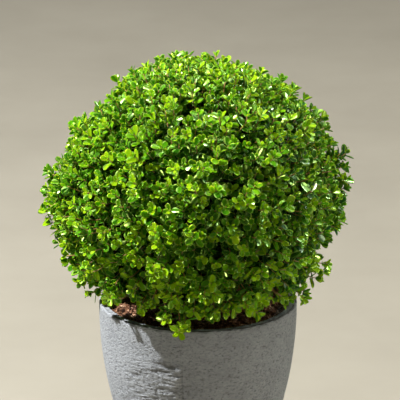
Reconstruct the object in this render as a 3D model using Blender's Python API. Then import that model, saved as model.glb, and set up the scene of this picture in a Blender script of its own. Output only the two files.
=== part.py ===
"""Clipped ball of box in an egg-shaped planter.

A short stem stands in the compost and forks into eleven boughs. Each bough carries one
mass of foliage: a dense core with leafy shoots standing out of it to the clipped surface.
Units are metres, +Z is up, and the origin is the centre of the planter's flat underside.
The front of the plant looks along -Y.
"""
import itertools
import math
import random

import bmesh
import bpy
from mathutils import Vector
from mathutils.bvhtree import BVHTree

SEED = 41
GAP = 0.0003                     # left between pieces that lie against each other

# Planter: turned, its side a piece of an ellipse that is widest at the rim.
RIM_RADIUS = 0.130
RIM_HEIGHT = 0.234
EGG_DEPTH = 0.2757               # from the rim down to where the ellipse would close
WALL = 0.011
FLOOR = 0.016
LIP_ROUND = 0.0028
FOOT_CHAMFER = 0.003
CORNER = 0.012                   # inside, between the wall and the floor
PLANTER_SIDES = 36
PLANTER_ROWS = 7
INSIDE_ROWS = 4
DRAINS = 3
DRAIN_RADIUS = 0.006
DRAIN_CIRCLE = 0.036

# Compost: fills the planter to a little below the rim, heaped at the left.
COMPOST_EDGE = 0.222
COMPOST_RISE = 0.004
HEAP = (-0.088, -0.030, 0.009, 0.026)      # x, y, height and spread of the heap
LUMP = 0.0022
COMPOST_RINGS = 4
SEAT_RADIUS = 0.024

# Crown: a ball about this centre, clipped flat just above the rim.
CROWN = Vector((-0.003, 0.0, 0.3755))
SHOOT_RADIUS = 0.167             # to the ends of the shoots, before the swells
CORE_RADIUS = 0.144
UNDERSIDE = 0.254
LEAF_FLOOR = 0.248               # no leaf inside the rim hangs lower,
HANG = 0.012                     # and those outside it end this far below the rim
RIM_CLEARANCE = 0.006
# azimuth, elevation, rise and spread of each place where the ball departs from round
SWELLS = (
    (181, -3, 0.009, 24),
    (4, 11, 0.009, 20),
    (16, 37, 0.006, 22),
    (154, 50, -0.008, 20),
    (90, 70, -0.004, 24),
    (-8, -21, -0.005, 14),
)

# Masses: one at the top, a ring of five above the middle and a ring of five below it.
RING = 5
UPPER_ELEVATION = 27
LOWER_ELEVATION = -21
UPPER_TURN = -46                 # azimuth of the first upper mass; the front is at -90
LOWER_TURN = -90
CORE_MARGIN = 0.0010             # a mass keeps this far inside its own space: its core,
LEAF_MARGIN = 0.0010             # the edges of its leaves
SHOOT_MARGIN = 0.0150            # and the ends of its shoots
FORK_SPACE = 0.092               # the limbs have this ball about the centre to themselves
NECK_RADIUS = 0.096              # a core's narrow inner end: its distance from the centre,
NECK_ANGLE = 14                  # and its half angle in degrees
CORE_SIDES = 18
CORE_INSET = 0.010               # the underside of a core is this far above the crown's
CORNER_DRAW = 0.025              # share of the way that a core's corners are drawn to its middle
WIDEST = 62                      # degrees from a mass's middle to its edge, at most
STEM_SPACE = 0.042               # cores keep this far from the stem

# Stem and boughs
STEM_FOOT = Vector((0.003, 0.002, 0.0))
STEM_TOP = 0.350
LEADER_FOOT = 0.312              # from here up the stem is straight, and its bough goes on from it
STEM_RADIUS = 0.0105
STEM_TIP_RADIUS = 0.0062
FLARE = 0.0045
FLARE_STEPS = (0.006, 0.016, 0.045)
STEM_SIDES = 8
BOUGH_SIDES = 6
BOUGH_RADIUS = 0.0050
BOUGH_TIP_RADIUS = 0.0034
BOUGH_BEND = 0.36                # share of a bough's length that its end headings act over
COLLAR_LENGTH = 0.010            # stands this far out of the stem
COLLAR_RADII = (0.0075, 0.0054)
STEM_BOW = 0.003
LOWER_FORK = 0.279               # heights at which the two rings of boughs leave the stem
UPPER_FORK = 0.322
FORK_JITTER = 0.006
BOUGH_SLOPE = 48                 # degrees at which a bough leaves the stem
BOUGH_STEPS = 4
BOUGH_REACH = 0.081              # where a bough ends, measured from the crown's centre

# Twigs and leaves: each four-sided shoot ends in a rosette of two crossed pairs of leaves.
SHOOT_RINGS = ((1, 0.0), (4, 0.50), (9, 1.0))     # number, and share of the way to the edge
LOWEST_SHOOT = -44               # degrees below the middle
SHOOT_INSET = 0.012              # the lowest shoots end this far above the crown's underside
SHOOT_UNEVEN = (-0.006, 0.003)   # a clipped shoot ends this far short of the surface, or past it
ROOT_DEPTH = 0.012               # the twigs spread from this far inside a mass's neck
TWIG_RADIUS = 0.0026
SHOOT_RADII = (0.0024, 0.0019)
FORK_STEP = 0.34
SHOOT_LENGTH = 0.032             # the shortest, from its fork to its end
PAIR_RISE = 0.0034               # height of the place on a shoot that carries one pair
LEAF_ANGLES = (70, 44)           # between each pair and its shoot, the lower pair first
# what a leaf with no room tries in turn: degrees closed up towards its shoot, share of its length
TRIES = ((0, 1.0), (14, 1.0), (0, 0.8), (24, 0.9), (14, 0.75), (28, 0.75), (0, 0.62))
LEAF_LENGTH = 0.0350
LEAF_WIDTH = 0.0250
LEAF_THICKNESS = 0.0020
LEAF_CUP = 0.0032

# Shoots that stand out of the clipped ball: base mass, then x, y, z of the end of the shoot.
STRAY_SHOOTS = (
    ("lower_5", Vector((-0.184, -0.010, 0.369))),
    ("upper_2", Vector((0.180, 0.012, 0.412))),
    ("lower_2", Vector((0.165, -0.022, 0.300))),
    ("upper_4", Vector((-0.106, 0.050, 0.505))),
)
# One that hangs over the rim: its mass, where it starts and where it ends.
HANGING_SHOOT = ("lower_1", Vector((-0.030, -0.130, 0.283)), Vector((-0.037, -0.160, 0.243)))


def clear_scene():
    for old in list(bpy.data.objects):
        bpy.data.objects.remove(old, do_unlink=True)


def make_material(name, colour, roughness):
    material = bpy.data.materials.new(name)
    material.use_nodes = True
    shader = material.node_tree.nodes["Principled BSDF"]
    shader.inputs["Base Color"].default_value = (*colour, 1.0)
    shader.inputs["Roughness"].default_value = roughness
    shader.inputs["Metallic"].default_value = 0.0
    material.diffuse_color = (*colour, 1.0)
    return material


def add_object(name, bm, material=None, collection=None):
    """Turn a bmesh into an object with its faces pointing out."""
    bmesh.ops.recalc_face_normals(bm, faces=bm.faces)
    mesh = bpy.data.meshes.new(name)
    bm.to_mesh(mesh)
    bm.free()
    if material:
        mesh.materials.append(material)
    obj = bpy.data.objects.new(name, mesh)
    (collection or bpy.context.scene.collection).objects.link(obj)
    return obj


def from_angles(azimuth, elevation):
    """Unit vector from angles in degrees."""
    flat = math.cos(math.radians(elevation))
    turn = math.radians(azimuth)
    return Vector((flat * math.cos(turn), flat * math.sin(turn), math.sin(math.radians(elevation))))


def side_axes(axis):
    """Two unit vectors square to an axis and to each other."""
    other = Vector((0.0, 0.0, 1.0)) if abs(axis.z) < 0.9 else Vector((1.0, 0.0, 0.0))
    across = axis.cross(other).normalized()
    return across, axis.cross(across).normalized()


def limb(points, radii, sides, turn=0.0):
    """Closed tapering tube through the points, its two ends cut square."""
    bm = bmesh.new()
    rings = []
    for i, point in enumerate(points):
        before = points[max(i - 1, 0)]
        after = points[min(i + 1, len(points) - 1)]
        across, upright = side_axes((after - before).normalized())
        if rings:
            # carry the last ring's bearing on, so that the tube doesn't twist
            axis = (after - before).normalized()
            across = (last_across - axis * last_across.dot(axis)).normalized()
            upright = axis.cross(across).normalized()
        last_across = across
        ring = []
        for k in range(sides):
            angle = turn + 2.0 * math.pi * k / sides
            offset = across * math.cos(angle) + upright * math.sin(angle)
            ring.append(bm.verts.new(point + offset * radii[i]))
        rings.append(ring)
    for low, high in zip(rings, rings[1:]):
        for k in range(sides):
            n = (k + 1) % sides
            bm.faces.new((low[k], low[n], high[n], high[k]))
    bm.faces.new(rings[0])
    bm.faces.new(rings[-1])
    return bm


def turned(profile, sides):
    """Closed solid turned about Z from (radius, height) points, its first and last rings filled."""
    bm = bmesh.new()
    rings = []
    for radius, height in profile:
        ring = []
        for k in range(sides):
            angle = 2.0 * math.pi * k / sides
            ring.append(bm.verts.new((radius * math.cos(angle), radius * math.sin(angle), height)))
        rings.append(ring)
    for low, high in zip(rings, rings[1:]):
        for k in range(sides):
            n = (k + 1) % sides
            bm.faces.new((low[k], low[n], high[n], high[k]))
    bm.faces.new(rings[0])
    bm.faces.new(rings[-1])
    return bm


def joined(base, collection):
    """Union of an object with a collection of solids, which are then removed."""
    union = base.modifiers.new("union", "BOOLEAN")
    union.operation = "UNION"
    union.operand_type = "COLLECTION"
    union.collection = collection
    union.solver = "EXACT"
    depsgraph = bpy.context.evaluated_depsgraph_get()
    mesh = bpy.data.meshes.new_from_object(base.evaluated_get(depsgraph))
    base.modifiers.clear()
    old = base.data
    base.data = mesh
    bpy.data.meshes.remove(old)
    for part in list(collection.objects):
        bpy.data.objects.remove(part, do_unlink=True)
    bpy.data.collections.remove(collection)
    return base


def drop_scraps(obj):
    """Keep the largest connected piece of a mesh: loose scraps and sealed hollows go."""
    bm = bmesh.new()
    bm.from_mesh(obj.data)
    bmesh.ops.triangulate(bm, faces=bm.faces)
    unseen = set(bm.verts)
    islands = []
    while unseen:
        front = [unseen.pop()]
        island = list(front)
        while front:
            vert = front.pop()
            for edge in vert.link_edges:
                other = edge.other_vert(vert)
                if other in unseen:
                    unseen.remove(other)
                    front.append(other)
                    island.append(other)
        islands.append(island)
    islands.sort(key=len)
    scraps = [vert for island in islands[:-1] for vert in island]
    bmesh.ops.delete(bm, geom=scraps, context="VERTS")
    bm.to_mesh(obj.data)
    bm.free()


# Planter

def egg_radius(height):
    """Outer radius of the planter at a height."""
    down = (RIM_HEIGHT - height) / EGG_DEPTH
    return RIM_RADIUS * math.sqrt(1.0 - down * down)


def wall_heights():
    """Heights of the rings of the inner wall, from the compost's edge to above the floor."""
    bottom = FLOOR + CORNER
    return [COMPOST_EDGE + (bottom - COMPOST_EDGE) * i / INSIDE_ROWS for i in range(INSIDE_ROWS + 1)]


def build_planter():
    top = RIM_HEIGHT - LIP_ROUND
    profile = [(egg_radius(0.0) - FOOT_CHAMFER, 0.0)]
    for i in range(PLANTER_ROWS + 1):
        height = FOOT_CHAMFER + (top - FOOT_CHAMFER) * i / PLANTER_ROWS
        profile.append((egg_radius(height), height))
    profile.append((RIM_RADIUS - LIP_ROUND * 0.3, RIM_HEIGHT - LIP_ROUND * 0.3))
    profile.append((RIM_RADIUS - LIP_ROUND, RIM_HEIGHT))
    profile.append((RIM_RADIUS - WALL + LIP_ROUND, RIM_HEIGHT))
    profile.append((RIM_RADIUS - WALL + LIP_ROUND * 0.3, RIM_HEIGHT - LIP_ROUND * 0.3))
    for height in [top] + wall_heights():
        profile.append((egg_radius(height) - WALL, height))
    profile.append((egg_radius(FLOOR) - WALL - CORNER, FLOOR))
    clay = make_material("clay_fibre", (0.16, 0.16, 0.155), 0.85)
    planter = add_object("planter", turned(profile, PLANTER_SIDES), clay)
    for i in range(DRAINS):
        angle = 2.0 * math.pi * (i + 0.2) / DRAINS
        centre = Vector((DRAIN_CIRCLE * math.cos(angle), DRAIN_CIRCLE * math.sin(angle), 0.0))
        ends = [centre - Vector((0.0, 0.0, FLOOR)), centre + Vector((0.0, 0.0, 2.0 * FLOOR))]
        cutter = add_object(f"drain_cutter_{i + 1}", limb(ends, [DRAIN_RADIUS] * 2, 10))
        cutter.hide_render = True
        cutter.display_type = "WIRE"
        cut = planter.modifiers.new(f"drain_{i + 1}", "BOOLEAN")
        cut.operation = "DIFFERENCE"
        cut.object = cutter
        cut.solver = "EXACT"


# Compost

def compost_height(x, y):
    """Surface of the compost: domed, lumpy and heaped at one side."""
    radius = math.hypot(x, y) / (RIM_RADIUS - WALL)
    heap_x, heap_y, heap_rise, heap_spread = HEAP
    away = math.hypot(x - heap_x, y - heap_y) / heap_spread
    lumps = math.sin(x * 190.0 + 1.0) * math.sin(y * 170.0 + 0.4) + 0.6 * math.sin(x * 330.0 - y * 260.0)
    dome = COMPOST_RISE * (1.0 - radius * radius)
    return COMPOST_EDGE + dome + heap_rise * math.exp(-away * away) + LUMP * lumps


def seat_height():
    """Level ground under the foot of the stem."""
    return COMPOST_EDGE + COMPOST_RISE


def build_compost():
    walls = list(reversed(wall_heights()))
    profile = [(egg_radius(FLOOR) - WALL - CORNER - GAP, FLOOR + GAP)]
    for height in walls:
        lift = GAP if height == walls[0] else 0.0
        profile.append((egg_radius(height) - WALL - GAP, height + lift))
    edge = profile[-1][0]
    for i in range(1, COMPOST_RINGS + 1):
        profile.append((edge + (SEAT_RADIUS - edge) * i / COMPOST_RINGS, seat_height()))
    bm = turned(profile, PLANTER_SIDES)
    for vert in bm.verts:
        flat = math.hypot(vert.co.x, vert.co.y)
        if abs(vert.co.z - seat_height()) < GAP and flat > SEAT_RADIUS + GAP:
            vert.co.z = compost_height(vert.co.x, vert.co.y)
    add_object("compost", bm, make_material("compost", (0.045, 0.026, 0.014), 0.95))


# Where the masses are

def mass_directions():
    """The middle of each mass's space, as a direction from the crown's centre."""
    directions = {"top": Vector((0.0, 0.0, 1.0))}
    for i in range(RING):
        turn = 360.0 * i / RING
        directions[f"upper_{i + 1}"] = from_angles(UPPER_TURN + turn, UPPER_ELEVATION)
        directions[f"lower_{i + 1}"] = from_angles(LOWER_TURN + turn, LOWER_ELEVATION)
    return directions


def room(point, name, directions):
    """Distance from a point to the nearest wall of a mass's space; negative outside it."""
    offset = point - CROWN
    own = directions[name]
    walls = [(own - other).normalized() for key, other in directions.items() if key != name]
    return min(offset.dot(wall) for wall in walls)


def swell(direction):
    """How far the clipped surface stands out beyond a round ball, in a direction."""
    total = 0.0
    for azimuth, elevation, rise, spread in SWELLS:
        angle = math.degrees(direction.angle(from_angles(azimuth, elevation)))
        total += rise * math.exp(-(angle / spread) ** 2)
    return total


def reach(direction, radius, underside):
    """Distance from the crown's centre to its surface, flat below."""
    distance = radius + swell(direction)
    if direction.z < 0.0:
        distance = min(distance, (CROWN.z - underside) / -direction.z)
    return distance


# Stem and boughs

def stem_point(height):
    """Middle of the stem, which leans from its foot to the crown's centre."""
    along = (height - seat_height()) / (STEM_TOP - seat_height())
    bow = STEM_BOW * math.sin(math.pi * along)
    return Vector((
        STEM_FOOT.x + (CROWN.x - STEM_FOOT.x) * along + bow,
        STEM_FOOT.y + (CROWN.y - STEM_FOOT.y) * along - bow,
        height,
    ))


def stem_radius(height):
    along = (height - seat_height()) / (STEM_TOP - seat_height())
    flare = FLARE * math.exp(-along * 9.0)
    return STEM_RADIUS + (STEM_TIP_RADIUS - STEM_RADIUS) * along + flare


def bough_start(name, direction, rng):
    """Where a bough leaves the stem: a point on the stem's middle line, and a heading."""
    if name == "top":
        return stem_point(STEM_TOP), (stem_point(STEM_TOP) - stem_point(LEADER_FOOT)).normalized()
    height = UPPER_FORK if name.startswith("upper") else LOWER_FORK
    height += rng.uniform(-FORK_JITTER, FORK_JITTER)
    heading = from_angles(math.degrees(math.atan2(direction.y, direction.x)), BOUGH_SLOPE)
    return stem_point(height), heading


def bark(name):
    return make_material(f"bark_{name}", (0.20, 0.135, 0.08), 0.85)


def build_limbs(directions):
    """The stem with its branch collars, and a bough on each collar. Returns the boughs' ends."""
    rng = random.Random(SEED)
    foot = seat_height() + GAP
    heights = [foot] + [foot + rise for rise in FLARE_STEPS] + [LEADER_FOOT, STEM_TOP]
    points = [stem_point(h) for h in heights]
    points[1] = points[0] + Vector((0.0, 0.0, heights[1] - heights[0]))
    radii = [stem_radius(h) for h in heights]
    stem = add_object("stem", limb(points, radii, STEM_SIDES), bark("stem"))
    collars = bpy.data.collections.new("collars")
    bpy.context.scene.collection.children.link(collars)
    ends = {}
    for name, direction in directions.items():
        start, heading = bough_start(name, direction, rng)
        clear = 0.0
        if name != "top":
            clear = stem_radius(start.z) + COLLAR_LENGTH
            collar = limb([start, start + heading * clear], COLLAR_RADII, BOUGH_SIDES)
            add_object("collar", collar, None, collars)
        base = start + heading * (clear + GAP)
        tip = CROWN + direction * BOUGH_REACH
        reach_out = (tip - base).length * BOUGH_BEND
        handles = [base, base + heading * reach_out, tip - direction * reach_out, tip]
        points = [bezier(handles, i / BOUGH_STEPS) for i in range(BOUGH_STEPS + 1)]
        points[1] = base + heading * (points[1] - base).length
        points[-2] = tip - direction * (tip - points[-2]).length
        thick = STEM_TIP_RADIUS * 0.94 if name == "top" else BOUGH_RADIUS
        radii = [thick + (BOUGH_TIP_RADIUS - thick) * i / BOUGH_STEPS for i in range(BOUGH_STEPS + 1)]
        add_object(f"bough_{name}", limb(points, radii, BOUGH_SIDES), bark(f"bough_{name}"))
        ends[name] = tip
    drop_scraps(joined(stem, collars))
    return ends


def bezier(handles, t):
    """Point on a cubic curve."""
    a, b, c, d = handles
    s = 1.0 - t
    return a * s ** 3 + b * 3.0 * s * s * t + c * 3.0 * s * t * t + d * t ** 3


# Foliage

def leaf_corners(root, along, across, length):
    """Free corners of a leaf: its widest place, its middle above and below, and its blunt end."""
    normal = along.cross(across)
    scale = length / LEAF_LENGTH
    corners = []
    for forward, side, lift in (
        (0.52, -0.5, LEAF_CUP * 0.8), (0.52, 0.5, LEAF_CUP * 0.8),
        (0.56, 0.0, LEAF_THICKNESS * 0.5), (0.56, 0.0, -LEAF_THICKNESS * 0.5),
        (0.95, -0.24, LEAF_CUP), (0.95, 0.24, LEAF_CUP),
    ):
        offset = along * (forward * length) + across * (side * LEAF_WIDTH * scale)
        corners.append(root + offset + normal * lift * scale)
    return corners


def add_leaf(bm, seat, corners):
    """Grow a leaf out of one side of a shoot."""
    left_low, right_low, right_high, left_high = seat
    left, right, upper, lower, left_end, right_end = [bm.verts.new(corner) for corner in corners]
    for face in (
        (left_high, left_low, left), (right_low, right_high, right),
        (right_high, left_high, upper), (left_high, left, upper), (right, right_high, upper),
        (left_low, right_low, lower), (left, left_low, lower), (right_low, right, lower),
        (left, left_end, upper), (left_end, right_end, upper), (right_end, right, upper),
        (left_end, left, lower), (right_end, left_end, lower), (right, right_end, lower),
    ):
        bm.faces.new(face)


def leaf_tree(root, corners):
    """The leaf's surface, for finding what it would cut."""
    faces = [
        (0, 4, 2), (4, 5, 2), (5, 1, 2), (4, 0, 3), (5, 4, 3), (1, 5, 3),
        (6, 0, 2), (6, 2, 1), (6, 3, 0), (6, 1, 3),
    ]
    return BVHTree.FromPolygons(corners + [root], faces)


def low(point):
    """True of a point under the crown, which hangs lower where it is clear of the rim."""
    outside = math.hypot(point.x, point.y) > RIM_RADIUS + RIM_CLEARANCE
    return point.z < (RIM_HEIGHT - HANG if outside else LEAF_FLOOR)


def fit_leaf(root, axis, side, spread, length, space, taken):
    """Corners of a leaf, closed up or smaller where it has no room; None if it fits nowhere."""
    for closing, share in TRIES:
        angle = math.radians(spread - closing)
        along = axis * math.cos(angle) + side * math.sin(angle)
        corners = leaf_corners(root, along, axis.cross(side), length * share)
        if any(low(corner) or room(corner, *space) < LEAF_MARGIN for corner in corners):
            continue
        tree = leaf_tree(root, corners)
        if not any(tree.overlap(other) for other in taken):
            taken.append(tree)
            return corners
    return None


def leafy_shoot(base, tip, space, rng, taken):
    """A four-sided shoot with a rosette of leaves at its end."""
    axis = (tip - base).normalized()
    across, upright = side_axes(axis)
    # the lower pair lies along the nearest wall, which runs square to the way out from the middle
    name, directions = space
    outward = tip - CROWN - directions[name] * (tip - CROWN).length
    turn = math.atan2(outward.dot(upright), outward.dot(across)) + math.pi * 0.25 + rng.uniform(-0.25, 0.25)
    length = (tip - base).length
    rises = [0.0, length - 2.0 * PAIR_RISE, length - PAIR_RISE, length]
    bm = bmesh.new()
    rings = []
    for rise in rises:
        radius = SHOOT_RADII[0] + (SHOOT_RADII[1] - SHOOT_RADII[0]) * rise / length
        ring = []
        for k in range(4):
            angle = turn + math.pi * 0.5 * k
            side = across * math.cos(angle) + upright * math.sin(angle)
            ring.append(bm.verts.new(base + axis * rise + side * radius))
        rings.append(ring)
    bm.faces.new(rings[0])
    bm.faces.new(rings[-1])
    for pair, (low, high) in enumerate(zip(rings, rings[1:]), start=-1):
        for k in range(4):
            n = (k + 1) % 4
            seat = (low[k], low[n], high[n], high[k])
            if pair >= 0 and k % 2 == pair:
                root = sum((vert.co for vert in seat), Vector()) / 4.0
                side = (root - base - axis * (root - base).dot(axis)).normalized()
                size = LEAF_LENGTH * rng.uniform(0.88, 1.06)
                spread = LEAF_ANGLES[pair] + rng.uniform(-6.0, 6.0)
                corners = fit_leaf(root, axis, side, spread, size, space, taken)
                if corners:
                    add_leaf(bm, seat, corners)
                    continue
            bm.faces.new(seat)
    return bm


def halves(targets):
    """Split shoot ends in two across the direction in which they spread the most."""
    middle = sum(targets, Vector()) / len(targets)
    far = max(targets, key=lambda t: (t - middle).length)
    axis = (far - middle).normalized()
    ordered = sorted(targets, key=lambda t: (t - middle).dot(axis))
    cut = len(ordered) // 2
    return ordered[:cut], ordered[cut:]


def grow(base, targets, radius, rng, twigs, shoots):
    """Fork from a base towards the shoot ends, part of the way at a time."""
    if len(targets) == 1:
        shoots.append((base, targets[0]))
        return
    for half in halves(targets):
        middle = sum(half, Vector()) / len(half)
        fork = base.lerp(middle, FORK_STEP)
        fork += Vector([rng.uniform(-0.002, 0.002) for _ in range(3)])
        farthest = min((end - CROWN).length for end in half) - SHOOT_LENGTH
        fork = CROWN + (fork - CROWN) * min(1.0, farthest / (fork - CROWN).length)
        twigs.append((base, fork, radius, radius * 0.88))
        grow(fork, half, radius * 0.88, rng, twigs, shoots)


def around(axis, turn, tilt):
    """Direction tilted from an axis by an angle in degrees, on the bearing of a turn."""
    across, upright = side_axes(axis)
    side = across * math.cos(turn) + upright * math.sin(turn)
    return axis * math.cos(math.radians(tilt)) + side * math.sin(math.radians(tilt))


def widest(axis, turn, fits):
    """Largest tilt from an axis, in degrees, up to which a direction fits."""
    tilt = 0.0
    while tilt < WIDEST and fits(around(axis, turn, tilt + 0.5)):
        tilt += 0.5
    return tilt


def space_corners(name, directions):
    """Directions in which three masses' spaces meet, for one mass."""
    own = directions[name]
    others = [other for key, other in directions.items() if key != name]
    for first, second in itertools.combinations(others, 2):
        corner = (own - first).cross(own - second).normalized()
        corner = corner if corner.dot(own) > 0.0 else -corner
        if room(CROWN + corner, name, directions) > -GAP:
            yield corner


def build_core(name, directions, material):
    """Dense inside of a mass: the hull of its outer face, which fills its space, and a narrow neck."""
    own = directions[name]

    def outer(direction):
        return CROWN + direction * reach(direction, CORE_RADIUS, UNDERSIDE + CORE_INSET)

    def fits(direction):
        point = outer(direction)
        near_stem = direction.z < 0.0 and math.hypot(point.x, point.y) < STEM_SPACE
        return not near_stem and room(point, name, directions) > CORE_MARGIN

    bm = bmesh.new()
    bm.verts.new(outer(own))
    for k in range(CORE_SIDES):
        turn = 2.0 * math.pi * k / CORE_SIDES
        edge = widest(own, turn, fits)
        bm.verts.new(outer(around(own, turn, edge)))
        if k % 3 == 0:
            bm.verts.new(outer(around(own, turn, edge * 0.55)))
            bm.verts.new(CROWN + around(own, turn, NECK_ANGLE) * NECK_RADIUS)
    for corner in space_corners(name, directions):
        drawn = corner.lerp(own, CORNER_DRAW).normalized()
        if fits(drawn):
            bm.verts.new(outer(drawn))
    hull = bmesh.ops.convex_hull(bm, input=bm.verts)
    inner = [v for v in hull["geom_interior"] if isinstance(v, bmesh.types.BMVert)]
    bmesh.ops.delete(bm, geom=inner, context="VERTS")
    return add_object(f"foliage_{name}", bm, material)


def shoot_ends(name, directions, rng):
    """Ends of a mass's shoots: rings of them about its middle, the last along the walls of its space."""
    own = directions[name]

    def end(direction):
        return CROWN + direction * reach(direction, SHOOT_RADIUS, UNDERSIDE + SHOOT_INSET)

    def fits(direction):
        high = math.degrees(math.asin(direction.z)) > LOWEST_SHOOT
        return high and room(end(direction), name, directions) > SHOOT_MARGIN

    ends = []
    for count, share in SHOOT_RINGS:
        start = rng.uniform(0.0, math.pi)
        for i in range(count):
            turn = start + 2.0 * math.pi * (i + rng.uniform(-0.1, 0.1)) / count
            direction = around(own, turn, widest(own, turn, fits) * share)
            ends.append(end(direction) + direction * rng.uniform(*SHOOT_UNEVEN))
    return ends + [end for mass, end in STRAY_SHOOTS if mass == name]


def build_mass(name, directions, bough_end, material):
    rng = random.Random(f"{SEED} {name}")
    own = directions[name]
    start = bough_end + own * GAP
    root = bough_end + own * (FORK_SPACE - BOUGH_REACH + ROOT_DEPTH)
    parts = bpy.data.collections.new(f"parts_{name}")
    bpy.context.scene.collection.children.link(parts)
    core = build_core(name, directions, material)
    radii = [BOUGH_TIP_RADIUS * 0.95, TWIG_RADIUS]
    add_object("twig", limb([start, root], radii, BOUGH_SIDES, 0.3), None, parts)
    twigs = []
    shoots = []
    grow(root, shoot_ends(name, directions, rng), TWIG_RADIUS, rng, twigs, shoots)
    for base, fork, thick, thin in twigs:
        add_object("twig", limb([base, fork], [thick, thin], 3, rng.uniform(0.0, 2.0)), None, parts)
    if name == HANGING_SHOOT[0]:
        shoots.append(HANGING_SHOOT[1:])
    # the shoots that stand out the farthest take their room first
    shoots.sort(key=lambda shoot: -(shoot[1] - CROWN).length)
    taken = []
    for base, tip in shoots:
        add_object("shoot", leafy_shoot(base, tip, (name, directions), rng, taken), None, parts)
    drop_scraps(joined(core, parts))


def main():
    clear_scene()
    build_planter()
    build_compost()
    directions = mass_directions()
    ends = build_limbs(directions)
    for name in directions:
        material = make_material(f"box_leaf_{name}", (0.09, 0.19, 0.02), 0.5)
        build_mass(name, directions, ends[name], material)


main()
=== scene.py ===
"""Clipped ball of box in its planter: the finish of every piece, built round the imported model."""
import math
import random

import bpy
import numpy as np
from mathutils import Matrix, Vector, noise


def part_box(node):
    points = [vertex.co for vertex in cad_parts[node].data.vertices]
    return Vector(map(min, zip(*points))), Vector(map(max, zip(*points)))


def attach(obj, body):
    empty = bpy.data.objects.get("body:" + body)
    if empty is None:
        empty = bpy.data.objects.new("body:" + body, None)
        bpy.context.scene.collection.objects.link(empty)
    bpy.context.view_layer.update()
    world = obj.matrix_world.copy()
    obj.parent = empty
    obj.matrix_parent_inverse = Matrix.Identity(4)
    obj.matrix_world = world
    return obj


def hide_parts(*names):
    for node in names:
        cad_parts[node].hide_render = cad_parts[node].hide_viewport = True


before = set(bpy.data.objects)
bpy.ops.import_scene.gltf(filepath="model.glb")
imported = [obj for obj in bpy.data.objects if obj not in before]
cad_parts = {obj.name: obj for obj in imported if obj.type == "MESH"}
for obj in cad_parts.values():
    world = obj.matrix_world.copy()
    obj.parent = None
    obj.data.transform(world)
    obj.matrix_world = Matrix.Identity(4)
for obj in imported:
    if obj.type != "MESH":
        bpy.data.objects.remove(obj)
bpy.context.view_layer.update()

# ----------------------------------------------
# Planter. An egg-shaped pot of clay bound with glass fibre, pressed in a mould: pitted all
# over, and scored with rough level strokes where it was brushed while wet. It is turned here
# as one closed mesh with that relief in it, and three drains are cut through its floor.
# ----------------------------------------------
_, planter_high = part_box("planter")
RIM_RADIUS = planter_high.x
RIM_HEIGHT = planter_high.z
EGG_DEPTH = 0.2757               # from the rim down to where the ellipse would close
WALL = 0.011
FLOOR = 0.016
LIP_ROUND = 0.0028
FOOT_CHAMFER = 0.003
CORNER = 0.012
DRAINS = 3
DRAIN_RADIUS = 0.006
DRAIN_CIRCLE = 0.036
COMPOST_EDGE = 0.222
SEEN_DOWN_TO = COMPOST_EDGE - 0.006      # the inner wall has finer rows down to here
PLANTER_SIDES = 420
WALL_ROWS = 170
LIP_ROWS = 10
BAND_FROM = -140                 # the brushed patch: azimuths in degrees, and its top
BAND_TO = -99
BAND_TOP = 0.197
BAND_EDGE = 9                    # its ragged left edge fades over twice as many degrees,
BAND_FADE = 0.022                # and it reaches full strength this far below its top
SWAY_DEPTH = 0.0003              # depths of the wall's relief: its slow unevenness,
SCORE_DEPTH = 0.00074            # its brush strokes,
PIT_DEPTH = 0.00045              # its pits,
GRAIN_DEPTH = 0.00012            # its grain,
BUILD_UP = 0.0064                # and, by strength over 1, the clay built up where the brush stopped
LIP_SAG = 0.0004                 # the lip's top is this far under a level plane,
LIP_WAVE = 0.0005                # and rises and falls by this
SHADE_LINE_WIDTH = 0.0014             # half the width of the painted shade line along the lip
SUNLIT_LIP_MIDDLE = 172                 # azimuth of the middle of the lip's sunlit part, where no shade is painted,
SUNLIT_LIP_HALF = 39                    # and its half width, in degrees


def evenly(first, last, steps):
    """Values from the first to the last in even steps, both included."""
    return [first + (last - first) * i / steps for i in range(steps + 1)]


def egg_radius(height):
    """Outer radius of the planter at a height."""
    down = (RIM_HEIGHT - height) / EGG_DEPTH
    return RIM_RADIUS * math.sqrt(1.0 - down * down)


def smooth_step(low, high, value):
    share = min(1.0, max(0.0, (value - low) / (high - low)))
    return share * share * (3.0 - 2.0 * share)


def brushed(azimuth, height):
    """How strongly the wall is scored at a place: in full in one patch, faintly elsewhere."""
    ragged = 7.0 * noise.noise(Vector((azimuth * 0.11, height * 60.0, 3.0)))
    across = smooth_step(BAND_FROM - BAND_EDGE, BAND_FROM + BAND_EDGE, azimuth + ragged)
    across *= 1.0 - smooth_step(BAND_TO - 1, BAND_TO + 1, azimuth + ragged * 0.12)
    across *= 1.0 + 0.25 * smooth_step(BAND_TO - 16, BAND_TO - 1, azimuth)
    below = 1.0 - smooth_step(BAND_TOP - BAND_FADE, BAND_TOP, height + ragged * 0.0008)
    drift = noise.noise(Vector((azimuth * 0.03, height * 22.0, 9.0)))
    faint = 0.10 + 0.16 * smooth_step(0.0, 0.5, drift)
    return max(faint, across * below)


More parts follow.
